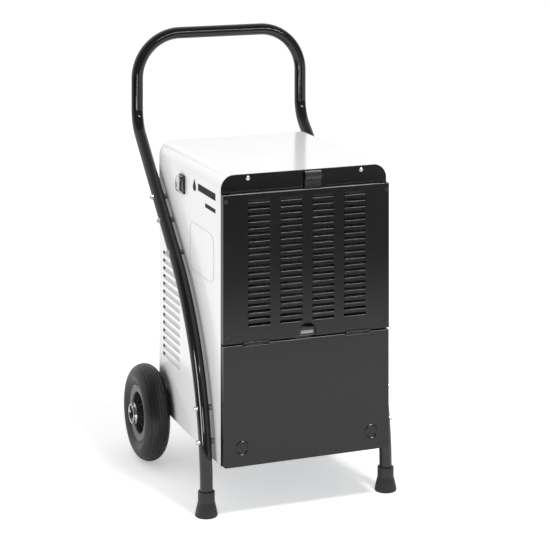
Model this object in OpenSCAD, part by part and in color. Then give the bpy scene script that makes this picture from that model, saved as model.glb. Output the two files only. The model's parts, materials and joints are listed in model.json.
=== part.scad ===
// Upright wheeled dehumidifier: sheet-metal body in a bent-tube trolley frame.
// Millimetres. X is left to right seen from the front, Y runs front to back, Z is up.
// Lengths along Y below are counted from the front edge of the casing.

/* [Casing] */
// Width of the casing
casing_w = 345; // [330:1:360]
// Depth of the casing
casing_d = 392; // [380:1:400]
// Height of the casing's lower edge above the floor
casing_z0 = 104.5; // [103:0.5:106]
// Height of the casing's top above the floor
casing_z1 = 658.5; // [655:0.5:670]
// Radius of the two long top edges
casing_r = 27; // [22:1:30]
// Thickness of the sheet metal
sheet = 1.5; // [1.2:0.1:1.6]

/* [Front] */
// How far the front panels stand forward of the casing
proud = 15; // [14:0.5:16]
// Lower edge of the intake cover
cover_z0 = 339; // [338.5:0.5:339.5]
// Upper edge of the intake cover
cover_z1 = 623; // [620:1:625]
// Slots in one column of the intake cover
slot_rows = 20; // [16:1:20]
// Distance between two slots
slot_pitch = 12.4; // [11:0.1:12.4]
// Height of one slot
slot_h = 5.6; // [4:0.2:6]
// Length of one slot
slot_l = 46.7; // [40:0.1:50]
// Distance between two columns of slots
column_pitch = 66.2; // [60:0.1:68]
// Lower edge of the tank flap
flap_z0 = 104; // [103:0.5:106]
// Upper edge of the tank flap
flap_z1 = 335.5; // [335:0.5:336]

/* [Side louvres] */
// Number of louvres in one side
louvre_rows = 14; // [10:1:14]
// Distance between two louvres
louvre_pitch = 16.2; // [15:0.1:17]
// Height of one louvre opening
louvre_h = 8; // [6:0.5:9]
// Front end of the louvres
louvre_y0 = 251; // [240:1:260]
// Rear end of the louvres
louvre_y1 = 366; // [350:1:370]
// Centre height of the lowest louvre
louvre_z0 = 220.8; // [215:0.1:225]

/* [Tube frame] */
// Outside diameter of the frame tube
tube_d = 25; // [24:0.5:26]
// Wall of the frame tube
tube_wall = 1.5; // [1.2:0.1:2]
// Distance from the middle to the centre of a side tube
tube_x = 188.5; // [188.5:0.5:190]
// Depth of the front legs
leg_y = 37.4; // [36:0.2:40]
// Depth of the upright handle
handle_y = 500; // [495:1:505]
// Height of the handle bar's centre line
handle_z = 870; // [850:5:900]
// Radius of the handle's two corners
handle_r = 95; // [85:1:100]
// Radius of the long lower bend
sweep_r = 533; // [500:1:540]
// Height where the lower bend begins
sweep_z = 42.6; // [40:0.2:45]
// Backward lean of the straight stretch
lean = 50; // [48:0.5:52]
// Radius of the bend below the handle
crank_r = 70.7; // [65:0.1:80]

/* [Wheels] */
// Diameter of a wheel
wheel_d = 196; // [196:1:198]
// Width of a tyre
tyre_w = 58; // [54:1:58]
// Distance from the middle to the centre of a wheel
wheel_x = 205; // [205:0.5:208]
// Depth of the axle
axle_y = 376; // [374:0.5:377]
// Diameter of the axle
axle_d = 16; // [15:0.5:16]

/* [Tank] */
// Width of the tank
tank_w = 224; // [200:1:224]
// Depth of the tank
tank_d = 202; // [180:1:202]
// Height of the tank without its lid
tank_h = 137; // [120:1:137]

/* [Hidden] */

$fn = 64;
half_w = casing_w / 2;
tube_r = tube_d / 2;
axle_r = axle_d / 2;
flange = 12;
// How far a cut runs past the surface that it opens.
eps = 0.5;
// Gap between a turning piece and what it turns on.
running = 0.05;
// The frame's bends are this much thicker than its straights, whose ends lap into them.
seam = 0.1;
lap = 1;
screw_r = 2;
screw_hole_r = 2.1;
bolt_r = 3;
bolt_hole_r = 3.1;

// The origin is on the floor, under the middle of the whole object.
knuckle_r = 2.4;
hinge_y = -proud - 1;
hinge_z = (flap_z1 + cover_z0) / 2;
front_y = hinge_y - knuckle_r;
back_y = handle_y + tube_r + seam;
mid_y = (front_y + back_y) / 2;

// Corner screws of the intake cover, as [x, z].
cover_screw_x = 167;
cover_screw_zs = [352.5, 611];
rear_screws_xz = [[165, 130], [165, 385], [163, 638]];
lip_screw_x = 118;
lip_screw_z = 650;

// Openings in the front frame.
intake_x = 140;
intake_z0 = 360;
intake_z1 = 614;
bay_x = 116;
bay_z0 = 120;
bay_z1 = 318;
bay_y1 = 214;

pan_top = 120;
pan_t = 2;

// ---------- helpers ----------

module placed() {
    translate([0, -mid_y, 0]) children();
}

// A box given by its two corners.
module block(a, b) {
    translate(a) cube(b - a);
}

// Draws a front-view shape (x, z) and gives it depth from y0 to y1.
module along_y(y0, y1) {
    translate([0, y1, 0]) rotate([90, 0, 0]) linear_extrude(y1 - y0) children();
}

// Draws a side-view shape (y, z) and gives it width from x0 to x1.
module along_x(x0, x1) {
    translate([x0, 0, 0]) rotate([90, 0, 90]) linear_extrude(x1 - x0) children();
}

// A cylinder along Y.
module rod_y(r, y0, y1, x = 0, z = 0) {
    translate([x, y1, z]) rotate([90, 0, 0]) cylinder(r = r, h = y1 - y0);
}

// A cylinder along X.
module rod_x(r, x0, x1, y = 0, z = 0) {
    translate([x0, y, z]) rotate([0, 90, 0]) cylinder(r = r, h = x1 - x0);
}

// A cylinder along Z.
module rod_z(r, z0, z1, x = 0, y = 0) {
    translate([x, y, z0]) cylinder(r = r, h = z1 - z0);
}

module both_sides() {
    children();
    mirror([1, 0, 0]) children();
}

// Front-view outline with two rounded top corners.
module arch(w, z0, z1, r) {
    translate([-w / 2, z0]) square([w, z1 - z0 - r]);
    translate([-w / 2 + r, z0]) square([w - 2 * r, z1 - z0]);
    for (s = [-1, 1]) translate([s * (w / 2 - r), z1 - r]) circle(r);
}

// Rectangle with four rounded corners, centred.
module round_rect(w, h, r) {
    square([w - 2 * r, h], center = true);
    square([w, h - 2 * r], center = true);
    for (sx = [-1, 1], sy = [-1, 1]) translate([sx * (w / 2 - r), sy * (h / 2 - r)]) circle(r);
}

// Straight slot with round ends, centred, long along the first axis.
module round_slot(l, h) {
    square([l - h, h], center = true);
    for (s = [-1, 1]) translate([s * (l - h) / 2, 0]) circle(h / 2);
}

// Holes for the four corner screws of the intake cover, as a front view.
module cover_screw_holes(r) {
    for (s = [-1, 1], z = cover_screw_zs) translate([s * cover_screw_x, z]) circle(r);
}

// ---------- casing ----------

module louvre_places() {
    for (i = [0 : louvre_rows - 1]) translate([0, 0, louvre_z0 + i * louvre_pitch]) children();
}

// One side's louvre blades: each lanced strip hangs on its lower edge and leans inwards.
module louvre_blades() {
    blade = 10;
    lean_in = 32;
    root = 1;
    louvre_places()
        translate([half_w - sheet, louvre_y0 + louvre_h / 2, -louvre_h / 2 - 0.2])
            rotate([0, -lean_in, 0])
                translate([-sheet, 0, -root])
                    cube([sheet, louvre_y1 - louvre_y0 - louvre_h, blade + root]);
}

module louvre_openings() {
    louvre_places()
        along_x(half_w - sheet - eps, half_w + eps)
            translate([(louvre_y0 + louvre_y1) / 2, 0])
                round_slot(louvre_y1 - louvre_y0, louvre_h);
}

// Shallow rounded-rectangle groove pressed in the side panel.
module side_groove() {
    l = 147;
    h = 97;
    corner = 22;
    line = 2.5;
    along_x(half_w - 0.5, half_w + eps)
        translate([112.5, 488.5])
            difference() {
                round_rect(l, h, corner);
                round_rect(l - 2 * line, h - 2 * line, corner - line);
            }
}

module casing() {
    color("white") placed() {
        difference() {
            union() {
                along_y(0, casing_d)
                    difference() {
                        arch(casing_w, casing_z0, casing_z1, casing_r);
                        arch(casing_w - 2 * sheet, casing_z0 - eps, casing_z1 - sheet,
                            casing_r - sheet);
                    }
                // return flanges at the front and at the rear
                for (y = [0, casing_d - 2 * sheet])
                    along_y(y, y + sheet)
                        difference() {
                            arch(casing_w - 1, casing_z0, casing_z1 - 0.5, casing_r - 0.5);
                            arch(casing_w - 2 * sheet - 2 * flange, casing_z0 - eps,
                                casing_z1 - sheet - flange, casing_r - sheet - flange);
                        }
            }
            both_sides() {
                louvre_openings();
                side_groove();
                axle_notch();
                for (p = bolt_points()) rod_x(bolt_hole_r, half_w - 4, half_w + 4, p[0], p[1]);
            }
            // opening for the switch, in the left side
            block([-half_w - 4, switch_y - body_half_y - 0.2, switch_z - body_half_z - 0.2],
                [-half_w + 4, switch_y + body_half_y + 0.2, switch_z + body_half_z + 0.2]);
            along_y(-eps, 2 * sheet) cover_screw_holes(screw_hole_r);
            both_sides() {
                rod_y(screw_hole_r, -eps, 2 * sheet, lip_screw_x, lip_screw_z);
                for (p = rear_screws_xz)
                    rod_y(screw_hole_r, casing_d - 3 * sheet, casing_d, p[0], p[1]);
            }
        }
        both_sides() louvre_blades();
    }
}

// Notch in the casing's lower edge, over the axle.
module axle_notch() {
    notch_half = 10;
    notch_top = 110;
    block([half_w - 5, axle_y - notch_half, casing_z0 - 5],
        [half_w + 5, axle_y + notch_half, notch_top]);
}

module front_frame() {
    color([0.05, 0.05, 0.05]) placed() along_y(-sheet, 0)
        difference() {
            arch(casing_w, casing_z0, casing_z1, casing_r);
            translate([-intake_x, intake_z0]) square([2 * intake_x, intake_z1 - intake_z0]);
            translate([-bay_x, bay_z0]) square([2 * bay_x, bay_z1 - bay_z0]);
            cover_screw_holes(screw_hole_r);
            for (s = [-1, 1]) translate([s * lip_screw_x, lip_screw_z]) circle(screw_hole_r);
        }
}

// ---------- intake cover, filter ----------

hinge_x0 = 80;
hinge_x1 = 131;
notch_h = 2.8;

// Clears the hinge knuckles out of the two front panels.
module hinge_notches(z0, z1) {
    both_sides()
        block([hinge_x0 - 1, -proud - 1, z0], [hinge_x1 + 1, -proud + sheet + 1.3, z1]);
}

module intake_cover() {
    finger_r = 17.7;
    finger_z = cover_z0 + 8.8;
    top_slot_z = cover_z1 - 15;
    color([0.06, 0.06, 0.06]) placed()
        difference() {
            union() {
                along_y(-proud, -proud + sheet)
                    difference() {
                        translate([-half_w, cover_z0]) square([casing_w, cover_z1 - cover_z0]);
                        for (c = [-1.5 : 1 : 1.5], i = [0 : slot_rows - 1])
                            translate([c * column_pitch, top_slot_z - i * slot_pitch])
                                round_slot(slot_l, slot_h);
                        cover_screw_holes(screw_hole_r);
                    }
                both_sides()
                    block([half_w - sheet, -proud + sheet, cover_z0], [half_w, -sheet, cover_z1]);
                block([-half_w + sheet, -proud + sheet, cover_z0],
                    [half_w - sheet, -sheet, cover_z0 + sheet]);
            }
            // finger opening in the lower edge
            rod_y(finger_r, -proud - 1, 0, 0, finger_z);
            block([-finger_r, -proud - 1, cover_z0 - 1], [finger_r, -sheet - 1, finger_z]);
            hinge_notches(cover_z0 - 1, cover_z0 + notch_h);
        }
}

module black_screws() {
    color([0.08, 0.08, 0.08]) placed() both_sides() {
        for (z = cover_screw_zs) {
            translate([cover_screw_x, -proud, z]) pan_head(4, 2);
            rod_y(screw_r, -proud, 3, cover_screw_x, z);
        }
        for (p = rear_screws_xz) {
            translate([p[0], casing_d, p[1]]) rotate([180, 0, 0]) pan_head(4, 2);
            rod_y(screw_r, casing_d - 6, casing_d, p[0], p[1]);
        }
        for (z = hook_screw_zs) {
            translate([hook_screw_x, casing_d + hook_plate_t, z]) rotate([180, 0, 0]) pan_head(4, 2);
            rod_y(screw_r, casing_d - 6, casing_d + hook_plate_t, hook_screw_x, z);
        }
    }
}

// A pan head with a cross recess, standing on the plane y = 0 and pointing to -Y.
module pan_head(r, h) {
    rim = h * 0.6;
    difference() {
        union() {
            rod_y(r, -rim, 0);
            translate([0, -rim, 0]) rotate([90, 0, 0]) cylinder(r1 = r, r2 = r * 0.7, h = h - rim);
        }
        for (a = [0, 90])
            rotate([0, a, 0]) block([-r * 0.5, -h - 1, -0.45], [r * 0.5, -h * 0.4, 0.45]);
    }
}

module cover_spacers() {
    color("silver") placed() both_sides()
        for (z = cover_screw_zs)
            difference() {
                rod_y(3.6, -proud + sheet, -sheet, cover_screw_x, z);
                rod_y(screw_hole_r, -proud, 0, cover_screw_x, z);
            }
}

module lip_screws() {
    color("silver") placed() both_sides() {
        translate([lip_screw_x, -sheet, lip_screw_z]) pan_head(4.4, 2);
        rod_y(screw_r, -sheet, 3, lip_screw_x, lip_screw_z);
    }
}

filter_y0 = -11.9;
filter_y1 = -4.4;
filter_w = 310;
filter_z0 = cover_z0 + sheet + 0.5;
filter_z1 = cover_z1 - 1;
filter_rail = 15;
mesh_y0 = -8;
mesh_y1 = -7;
mesh_edge = 8;
tab_x = 15;
tab_w = 34;
tab_top = 656;
strip_half_w = 13;
strip_z0 = 344;
strip_h = 6.5;
strip_seat = 0.3;

module filter_frame() {
    color([0.2, 0.2, 0.2]) placed() {
        difference() {
            block([-filter_w / 2, filter_y0, filter_z0], [filter_w / 2, filter_y1, filter_z1]);
            // window
            block([filter_rail - filter_w / 2, filter_y0 - 1, filter_z0 + filter_rail],
                [filter_w / 2 - filter_rail, filter_y1 + 1, filter_z1 - filter_rail]);
            // groove that holds the mesh
            block([-filter_w / 2 + mesh_edge, mesh_y0, filter_z0 + mesh_edge],
                [filter_w / 2 - mesh_edge, mesh_y1, filter_z1 - mesh_edge]);
            // seat of the strip
            block([-strip_half_w, filter_y0 - 1, strip_z0],
                [strip_half_w, filter_y0 + strip_seat, strip_z0 + strip_h]);
            // finger recess in front of the pull tab
            block([tab_x - tab_w / 2, filter_y0 - 1, filter_z1 - 6],
                [tab_x + tab_w / 2, filter_y1 - 2.5, filter_z1 + 1]);
        }
        pull_tab();
    }
}

// Pull tab: a flat stem whose upper part bows forward.
module pull_tab() {
    t = 2;
    bow_r = 12;
    bow_y = 1.5;
    bow_half = 9;
    bow_z = tab_top - bow_half;
    along_x(tab_x - tab_w / 2, tab_x + tab_w / 2) {
        translate([filter_y1 - 2.5, filter_z1 - 1])
            square([t, bow_z - bow_half - filter_z1 + 2]);
        intersection() {
            difference() {
                translate([bow_y, bow_z]) circle(bow_r);
                translate([bow_y, bow_z]) circle(bow_r - t);
            }
            translate([bow_y - bow_r - 1, bow_z - bow_half]) square([bow_r, 2 * bow_half]);
        }
    }
}

// Bright strip riveted in the lower rail, where the finger opening shows it.
module filter_strip() {
    color("silver") placed()
        block([-strip_half_w, filter_y0 - 0.6, strip_z0],
            [strip_half_w, filter_y0 + strip_seat, strip_z0 + strip_h]);
}

module filter_mesh() {
    edge = mesh_edge + 0.2;
    color([0.3, 0.3, 0.3]) placed()
        block([-filter_w / 2 + edge, mesh_y0, filter_z0 + edge],
            [filter_w / 2 - edge, mesh_y1, filter_z1 - edge]);
}

// ---------- tank flap and its hinges ----------

module flap_outline(inset, corner) {
    x = half_w - 0.5 - inset;
    z0 = flap_z0 + inset;
    translate([-x, z0 + corner]) square([2 * x, flap_z1 - inset - z0 - corner]);
    translate([-x + corner, z0]) square([2 * x - 2 * corner, corner + 1]);
    for (s = [-1, 1]) translate([s * (x - corner), z0 + corner]) circle(corner);
}

magnet_x = 134;
magnet_z = 139;

module tank_flap() {
    dimple_r = 13.5;
    color([0.07, 0.07, 0.07]) placed()
        difference() {
            union() {
                along_y(-proud, -proud + sheet) flap_outline(0, 6);
                along_y(-proud + sheet, -3)
                    difference() {
                        flap_outline(0, 6);
                        flap_outline(sheet, 4.5);
                    }
            }
            both_sides()
                difference() {
                    rod_y(dimple_r, -proud - 1, -proud + 0.7, magnet_x, magnet_z);
                    rod_y(dimple_r - 2.5, -proud - 2, -proud + 2, magnet_x, magnet_z);
                }
            hinge_notches(flap_z1 - notch_h, flap_z1 + 1);
        }
}

module flap_magnets() {
    color([0.3, 0.3, 0.3]) placed() both_sides()
        rod_y(9, -proud + sheet, -2.5, magnet_x, magnet_z);
}

knuckle_cuts = [hinge_x0, 92, 119, hinge_x1];
knuckle_gap = 0.2;
pin_r = 1.3;
leaf_t = 1;
leaf_y = -proud + sheet;

// Knuckle segments of one leaf: a tube on the hinge axis and a bridge to the plate.
module knuckle(x0, x1, bore, up) {
    difference() {
        union() {
            rod_x(knuckle_r, x0, x1, hinge_y, hinge_z);
            if (up)
                block([x0, hinge_y + 0.6, hinge_z + 1.2], [x1, leaf_y + leaf_t, hinge_z + 4.4]);
            else
                block([x0, hinge_y + 0.6, hinge_z - 4.4], [x1, leaf_y + leaf_t, hinge_z - 1.2]);
        }
        rod_x(bore, x0 - 1, x1 + 1, hinge_y, hinge_z);
    }
}

module fixed_hinge_leaves() {
    color([0.1, 0.1, 0.1]) placed() both_sides() {
        knuckle(knuckle_cuts[0], knuckle_cuts[1] - knuckle_gap, pin_r, true);
        knuckle(knuckle_cuts[2] + knuckle_gap, knuckle_cuts[3], pin_r, true);
        block([hinge_x0, leaf_y, hinge_z + 4.4], [hinge_x1, leaf_y + leaf_t, hinge_z + 15]);
    }
}

module moving_hinge_leaves() {
    color([0.1, 0.1, 0.1]) placed() both_sides() {
        knuckle(knuckle_cuts[1], knuckle_cuts[2], pin_r + running, false);
        block([hinge_x0, leaf_y, hinge_z - 17], [hinge_x1, leaf_y + leaf_t, hinge_z - 4.4]);
    }
}

module hinge_pins() {
    color("silver") placed() both_sides()
        rod_x(pin_r, hinge_x0, hinge_x1, hinge_y, hinge_z);
}

// ---------- base, rear panel, inner sheet metal ----------

module base_pan() {
    x = half_w - sheet - 0.1;
    y0 = sheet + 0.1;
    y1 = casing_d - 3 * sheet;
    color([0.75, 0.75, 0.75]) placed()
        difference() {
            block([-x, y0, casing_z0 + eps], [x, y1, pan_top]);
            block([-x + sheet, y0 + sheet, casing_z0 - 1], [x - sheet, y1 - sheet, pan_top - pan_t]);
            both_sides() axle_notch();
        }
}

fan_z = 480;
fan_hole_r = 112;
grille_r = 104;
grille_pitch = 12;

module rear_panel() {
    gap = 0.2;
    rows = floor(grille_r / grille_pitch);
    rib = 5;
    color("white") placed() along_y(casing_d - sheet, casing_d)
        difference() {
            arch(casing_w - 2 * sheet - 2 * gap, casing_z0 + eps, casing_z1 - sheet - gap,
                casing_r - sheet - gap);
            for (i = [-rows + 1 : rows - 1], s = [-1, 1]) {
                half = sqrt(grille_r * grille_r - pow(i * grille_pitch, 2));
                translate([s * (half + rib) / 2, fan_z + i * grille_pitch]) round_slot(half - rib, 7);
            }
            for (s = [-1, 1], p = rear_screws_xz)
                translate([s * p[0], p[1]]) circle(screw_hole_r);
            for (s = [-1, 1], z = hook_screw_zs) translate([s * hook_screw_x, z]) circle(screw_hole_r);
            translate([gland_x, gland_z]) circle(gland_r);
        }
}

drip_x = 0;
drip_y = 60;

module tank_bay() {
    t = sheet;
    color([0.72, 0.73, 0.74]) placed()
        difference() {
            union() {
                both_sides() block([bay_x, sheet, bay_z0], [bay_x + t, bay_y1 + t, bay_z1 + t]);
                block([-bay_x, bay_y1, bay_z0], [bay_x, bay_y1 + t, bay_z1 + t]);
                block([-bay_x, sheet, bay_z1], [bay_x, bay_y1, bay_z1 + t]);
            }
            rod_z(8, bay_z1 - 5, bay_z1 + 5, drip_x, drip_y);
        }
}

// ---------- tank ----------

tank_y0 = 4;
tank_z0 = pan_top + 1;
tank_z1 = tank_z0 + tank_h;
tank_wall = 2.5;
tank_corner = 12;
lid_t = 3;
float_x = 60;
float_y = 100;
stem_r = 3;

module tank_plan(inset) {
    translate([0, tank_y0 + tank_d / 2])
        round_rect(tank_w - 2 * inset, tank_d - 2 * inset, tank_corner - inset);
}

module tank_body() {
    grip_w = 90;
    grip_z0 = tank_z1 - 45;
    grip_z1 = tank_z1 - 8;
    grip_depth = 14;
    color([0.85, 0.87, 0.88]) placed()
        difference() {
            translate([0, 0, tank_z0]) linear_extrude(tank_h) tank_plan(0);
            difference() {
                translate([0, 0, tank_z0 + tank_wall]) linear_extrude(tank_h) tank_plan(tank_wall);
                block([-grip_w / 2 - tank_wall, 0, grip_z0 - tank_wall],
                    [grip_w / 2 + tank_wall, tank_y0 + grip_depth + tank_wall,
                    grip_z1 + tank_wall]);
            }
            // hand grip sunk into the front wall
            block([-grip_w / 2, tank_y0 - 1, grip_z0], [grip_w / 2, tank_y0 + grip_depth, grip_z1]);
        }
}

module tank_lid() {
    stem_l = 55;
    stop_r = 7;
    stop_t = 2.5;
    color([0.2, 0.22, 0.24]) placed() {
        difference() {
            translate([0, 0, tank_z1]) linear_extrude(lid_t) tank_plan(0);
            rod_z(20, tank_z1 - 1, tank_z1 + lid_t + 1, drip_x, drip_y);
        }
        rod_z(stem_r, tank_z1 - stem_l, tank_z1, float_x, float_y);
        rod_z(stop_r, tank_z1 - stem_l - stop_t, tank_z1 - stem_l, float_x, float_y);
    }
}

module tank_float() {
    float_h = 24;
    float_r = 17;
    float_z0 = tank_z1 - 54.5;
    color([0.9, 0.3, 0.15]) placed()
        difference() {
            rod_z(float_r, float_z0, float_z0 + float_h, float_x, float_y);
            rod_z(stem_r + running, float_z0 - 1, float_z0 + float_h + 1, float_x, float_y);
        }
}

module float_switch() {
    foot_z = tank_z1 + lid_t + 4;
    color([0.15, 0.15, 0.16]) placed() {
        block([float_x - 4, float_y - 4, foot_z + 7], [float_x + 4, float_y + 4, bay_z1 - 2]);
        block([float_x - 14, float_y - 12, foot_z], [float_x + 14, float_y + 12, foot_z + 7]);
        block([float_x - 14, float_y - 12, bay_z1 - 2], [float_x + 14, float_y + 12, bay_z1]);
    }
}

// ---------- air path: drip tray, coils, fan ----------

tray_z0 = bay_z1 + sheet;
tray_t = 2;
coil_y0 = 16;
coil_depth = 42;
coil_gap = 8;
coil_z0 = 345;
coil_z1 = 612;
coil_half_w = 130;
plate_x = 133;
plate_t = 1.5;
bend_pitch = 25;
coil_tube_r = 4.76;

module drip_tray() {
    x = 142;
    y0 = 8;
    y1 = 119;
    h = 15;
    spout_r = 7;
    spout_z = bay_z1 - 20;
    color([0.35, 0.36, 0.37]) placed()
        difference() {
            union() {
                block([-x, y0, tray_z0], [x, y1, tray_z0 + h]);
                rod_z(spout_r, spout_z, tray_z0 + 1, drip_x, drip_y);
            }
            block([-x + tray_t, y0 + tray_t, tray_z0 + tray_t],
                [x - tray_t, y1 - tray_t, tray_z0 + h + 1]);
            rod_z(spout_r - tray_t, spout_z - 1, tray_z0 + h, drip_x, drip_y);
        }
}

// A pack of upright fins between two depths.
module fin_pack(y0, y1) {
    pitch = 5;
    fin_t = 0.6;
    for (x = [-coil_half_w : pitch : coil_half_w])
        block([x - fin_t / 2, y0, coil_z0], [x + fin_t / 2, y1, coil_z1]);
}

// Return bends at both ends of a coil, and its two straight tails.
module return_bends(y) {
    first = coil_z0 + 17;
    tail = 12;
    for (i = [0 : 4]) return_bend(y, first + 2 * i * bend_pitch);
    mirror([1, 0, 0]) {
        for (i = [0 : 3]) return_bend(y, first + (2 * i + 1) * bend_pitch);
        for (z = [first, first + 9 * bend_pitch])
            rod_x(coil_tube_r, plate_x + plate_t, plate_x + plate_t + tail, y, z);
    }
}

// A half ring outside the right end plate, from height z to the next tube above.
module return_bend(y, z) {
    translate([plate_x + plate_t, y, z + bend_pitch / 2])
        rotate([90, 0, 0]) rotate([0, 0, -90])
            rotate_extrude(angle = 180) translate([bend_pitch / 2, 0]) circle(coil_tube_r);
}

evaporator_y1 = coil_y0 + coil_depth;
condenser_y0 = evaporator_y1 + coil_gap;
condenser_y1 = condenser_y0 + coil_depth;

module evaporator_fins() {
    color([0.78, 0.79, 0.8]) placed() fin_pack(coil_y0, evaporator_y1);
}

module condenser_fins() {
    color([0.78, 0.79, 0.8]) placed() fin_pack(condenser_y0, condenser_y1);
}

module evaporator_bends() {
    color([0.72, 0.45, 0.3]) placed() return_bends((coil_y0 + evaporator_y1) / 2);
}

module condenser_bends() {
    color([0.72, 0.45, 0.3]) placed() return_bends((condenser_y0 + condenser_y1) / 2);
}

module coil_end_plates() {
    color([0.7, 0.71, 0.72]) placed() both_sides()
        block([plate_x, coil_y0 - 3, tray_z0 + tray_t],
            [plate_x + plate_t, condenser_y1 + 3, coil_z1 + 10]);
}

shroud_y = 122;
pipe_z = 350;
pipe_xs = [60, 95];
pipe_r = 4.76;

module fan_shroud() {
    color([0.72, 0.73, 0.74]) placed() {
        difference() {
            along_y(shroud_y, shroud_y + sheet)
                difference() {
                    arch(casing_w - 2 * sheet - 0.2, tray_z0, casing_z1 - sheet - 0.1,
                        casing_r - sheet - 0.1);
                    translate([0, fan_z]) circle(fan_hole_r);
                }
            for (x = pipe_xs) rod_y(pipe_r + 1, shroud_y - 1, shroud_y + 5, x, pipe_z);
        }
        difference() {
            rod_y(fan_hole_r + sheet, shroud_y + sheet, shroud_y + 36, 0, fan_z);
            rod_y(fan_hole_r, shroud_y, shroud_y + 37, 0, fan_z);
        }
    }
}

fan_y0 = 128;
fan_y1 = 156;
motor_y0 = 166;
motor_y1 = 235;
shaft_r = 4;

module fan_impeller() {
    hub_r = 32;
    tip_r = 108;
    blade_t = 2.5;
    pitch_angle = 55;
    color([0.25, 0.26, 0.28]) placed() {
        rod_y(hub_r, fan_y0 - 1, fan_y1 + 1, 0, fan_z);
        rod_y(shaft_r, fan_y1 + 1, motor_y0 + 16, 0, fan_z);
        for (i = [0 : 4])
            translate([0, 0, fan_z]) rotate([0, i * 72, 0])
                intersection() {
                    difference() {
                        rod_y(tip_r, fan_y0, fan_y1);
                        rod_y(hub_r - 0.5, fan_y0 - 1, fan_y1 + 1);
                    }
                    translate([0, (fan_y0 + fan_y1) / 2, 0]) rotate([0, 0, pitch_angle])
                        block([-blade_t / 2, -30, 0], [blade_t / 2, 30, tip_r + 5]);
                }
    }
}

module fan_motor() {
    color([0.3, 0.3, 0.32]) placed()
        difference() {
            union() {
                rod_y(42, motor_y0 + 6, motor_y1, 0, fan_z);
                rod_y(14, motor_y0, motor_y0 + 6, 0, fan_z);
            }
            rod_y(shaft_r + running, motor_y0 - 1, motor_y0 + 20, 0, fan_z);
        }
}

module motor_bracket() {
    t = 3;
    half = 16;
    span = 138;
    color([0.7, 0.71, 0.72]) placed() {
        block([-half, motor_y1, fan_z - span], [half, motor_y1 + t, fan_z + span]);
        for (z = [fan_z - span, fan_z + span - t])
            block([-half, shroud_y + sheet, z], [half, motor_y1, z + t]);
    }
}

// ---------- refrigeration ----------

can_x = 40;
can_y = 300;
can_r = 72;
can_foot_z = 135;
can_top = 290;
lug_t = 3;
lug_x = 72;
lug_angles = [90, 210, 330];
riser_y = can_y + 20;

module compressor() {
    dome_r = 110;
    dome_z = can_top - 20;
    dome_h = dome_r - sqrt(dome_r * dome_r - can_r * can_r);
    waist = 12;
    color([0.05, 0.05, 0.06]) placed() {
        translate([can_x, can_y, 0]) {
            rod_z(can_r, can_foot_z + waist, dome_z);
            rod_z(can_r - waist, can_foot_z, can_foot_z + waist);
            intersection() {
                translate([0, 0, dome_z + dome_h - dome_r]) sphere(r = dome_r, $fn = 96);
                rod_z(can_r, dome_z, dome_z + dome_h);
            }
            // foot plate with three lugs
            rod_z(can_r - waist, can_foot_z - lug_t, can_foot_z);
            for (a = lug_angles)
                rotate([0, 0, a])
                    block([0, -14, can_foot_z - lug_t], [lug_x + waist, 14, can_foot_z]);
        }
        for (x = pipe_xs) rod_z(pipe_r + 1.2, dome_z - 5, can_top + 8, x, riser_y);
    }
}

module compressor_grommets() {
    color([0.1, 0.1, 0.1]) placed() translate([can_x, can_y, 0])
        for (a = lug_angles) rotate([0, 0, a]) rod_z(9, pan_top, can_foot_z - lug_t, lug_x, 0);
}

// Suction and discharge pipes: up from the compressor, then forward through the shroud.
module refrigerant_pipes() {
    elbow_r = 15;
    color([0.72, 0.45, 0.3]) placed()
        for (x = pipe_xs) {
            rod_z(pipe_r, can_top + 8, pipe_z - elbow_r, x, riser_y);
            translate([x, riser_y - elbow_r, pipe_z - elbow_r]) rotate([90, 0, 90])
                rotate_extrude(angle = 90) translate([elbow_r, 0]) circle(pipe_r);
            rod_y(pipe_r, condenser_y1 + 1, riser_y - elbow_r, x, pipe_z);
        }
}

module filter_drier() {
    y0 = 180;
    y1 = 260;
    color([0.75, 0.5, 0.35]) placed()
        difference() {
            rod_y(11, y0, y1, pipe_xs[1], pipe_z);
            rod_y(pipe_r, y0 - 1, y1 + 1, pipe_xs[1], pipe_z);
        }
}

// ---------- electrics ----------

box_x0 = -161;
box_x1 = -115;
box_y0 = 279;
box_z0 = 445;
box_z1 = 590;

module electrics_box() {
    color([0.6, 0.61, 0.62]) placed()
        difference() {
            block([box_x0, box_y0, box_z0], [box_x1, casing_d - 2 * sheet, box_z1]);
            block([box_x0 + sheet, box_y0 + sheet, box_z0 + sheet],
                [box_x1 + 1, casing_d - 3 * sheet, box_z1 - sheet]);
        }
}

module control_board() {
    x = box_x0 + sheet + 5;
    face = x + 1.6;
    color([0.1, 0.35, 0.2]) placed() {
        block([x, box_y0 + 6, box_z0 + 8], [face, 382, box_z1 - 8]);
        // four stand-offs
        for (z = [box_z0 + 10, box_z1 - 10], y = [box_y0 + 10, 370])
            block([box_x0 + sheet, y, z], [x, y + 5, z + 5]);
        // three relays, a round capacitor and a transformer
        for (i = [0 : 2]) block([face, 300, 460 + 38 * i], [face + 15.4, 328, 486 + 38 * i]);
        rod_x(9, face, face + 24.4, 358, 560);
        block([face, 345, 460], [face + 24.4, 376, 500]);
    }
}

module run_capacitor() {
    x = 146;
    y = 350;
    top = pan_top + 70;
    color([0.8, 0.8, 0.78]) placed() {
        rod_z(19, pan_top, top, x, y);
        for (s = [-1, 1]) rod_z(2, top, top + 8, x + 7 * s, y);
    }
}

switch_y = 232;
switch_z = 599;
switch_half_y = 15;
switch_half_z = 18;
body_half_y = 12.8;
body_half_z = 15.8;
bezel_face = half_w + 4;
pivot_x = half_w - 2.5;

// The switch is drawn on the right side and mirrored to the left.
module on_left() {
    mirror([1, 0, 0]) children();
}

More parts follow.
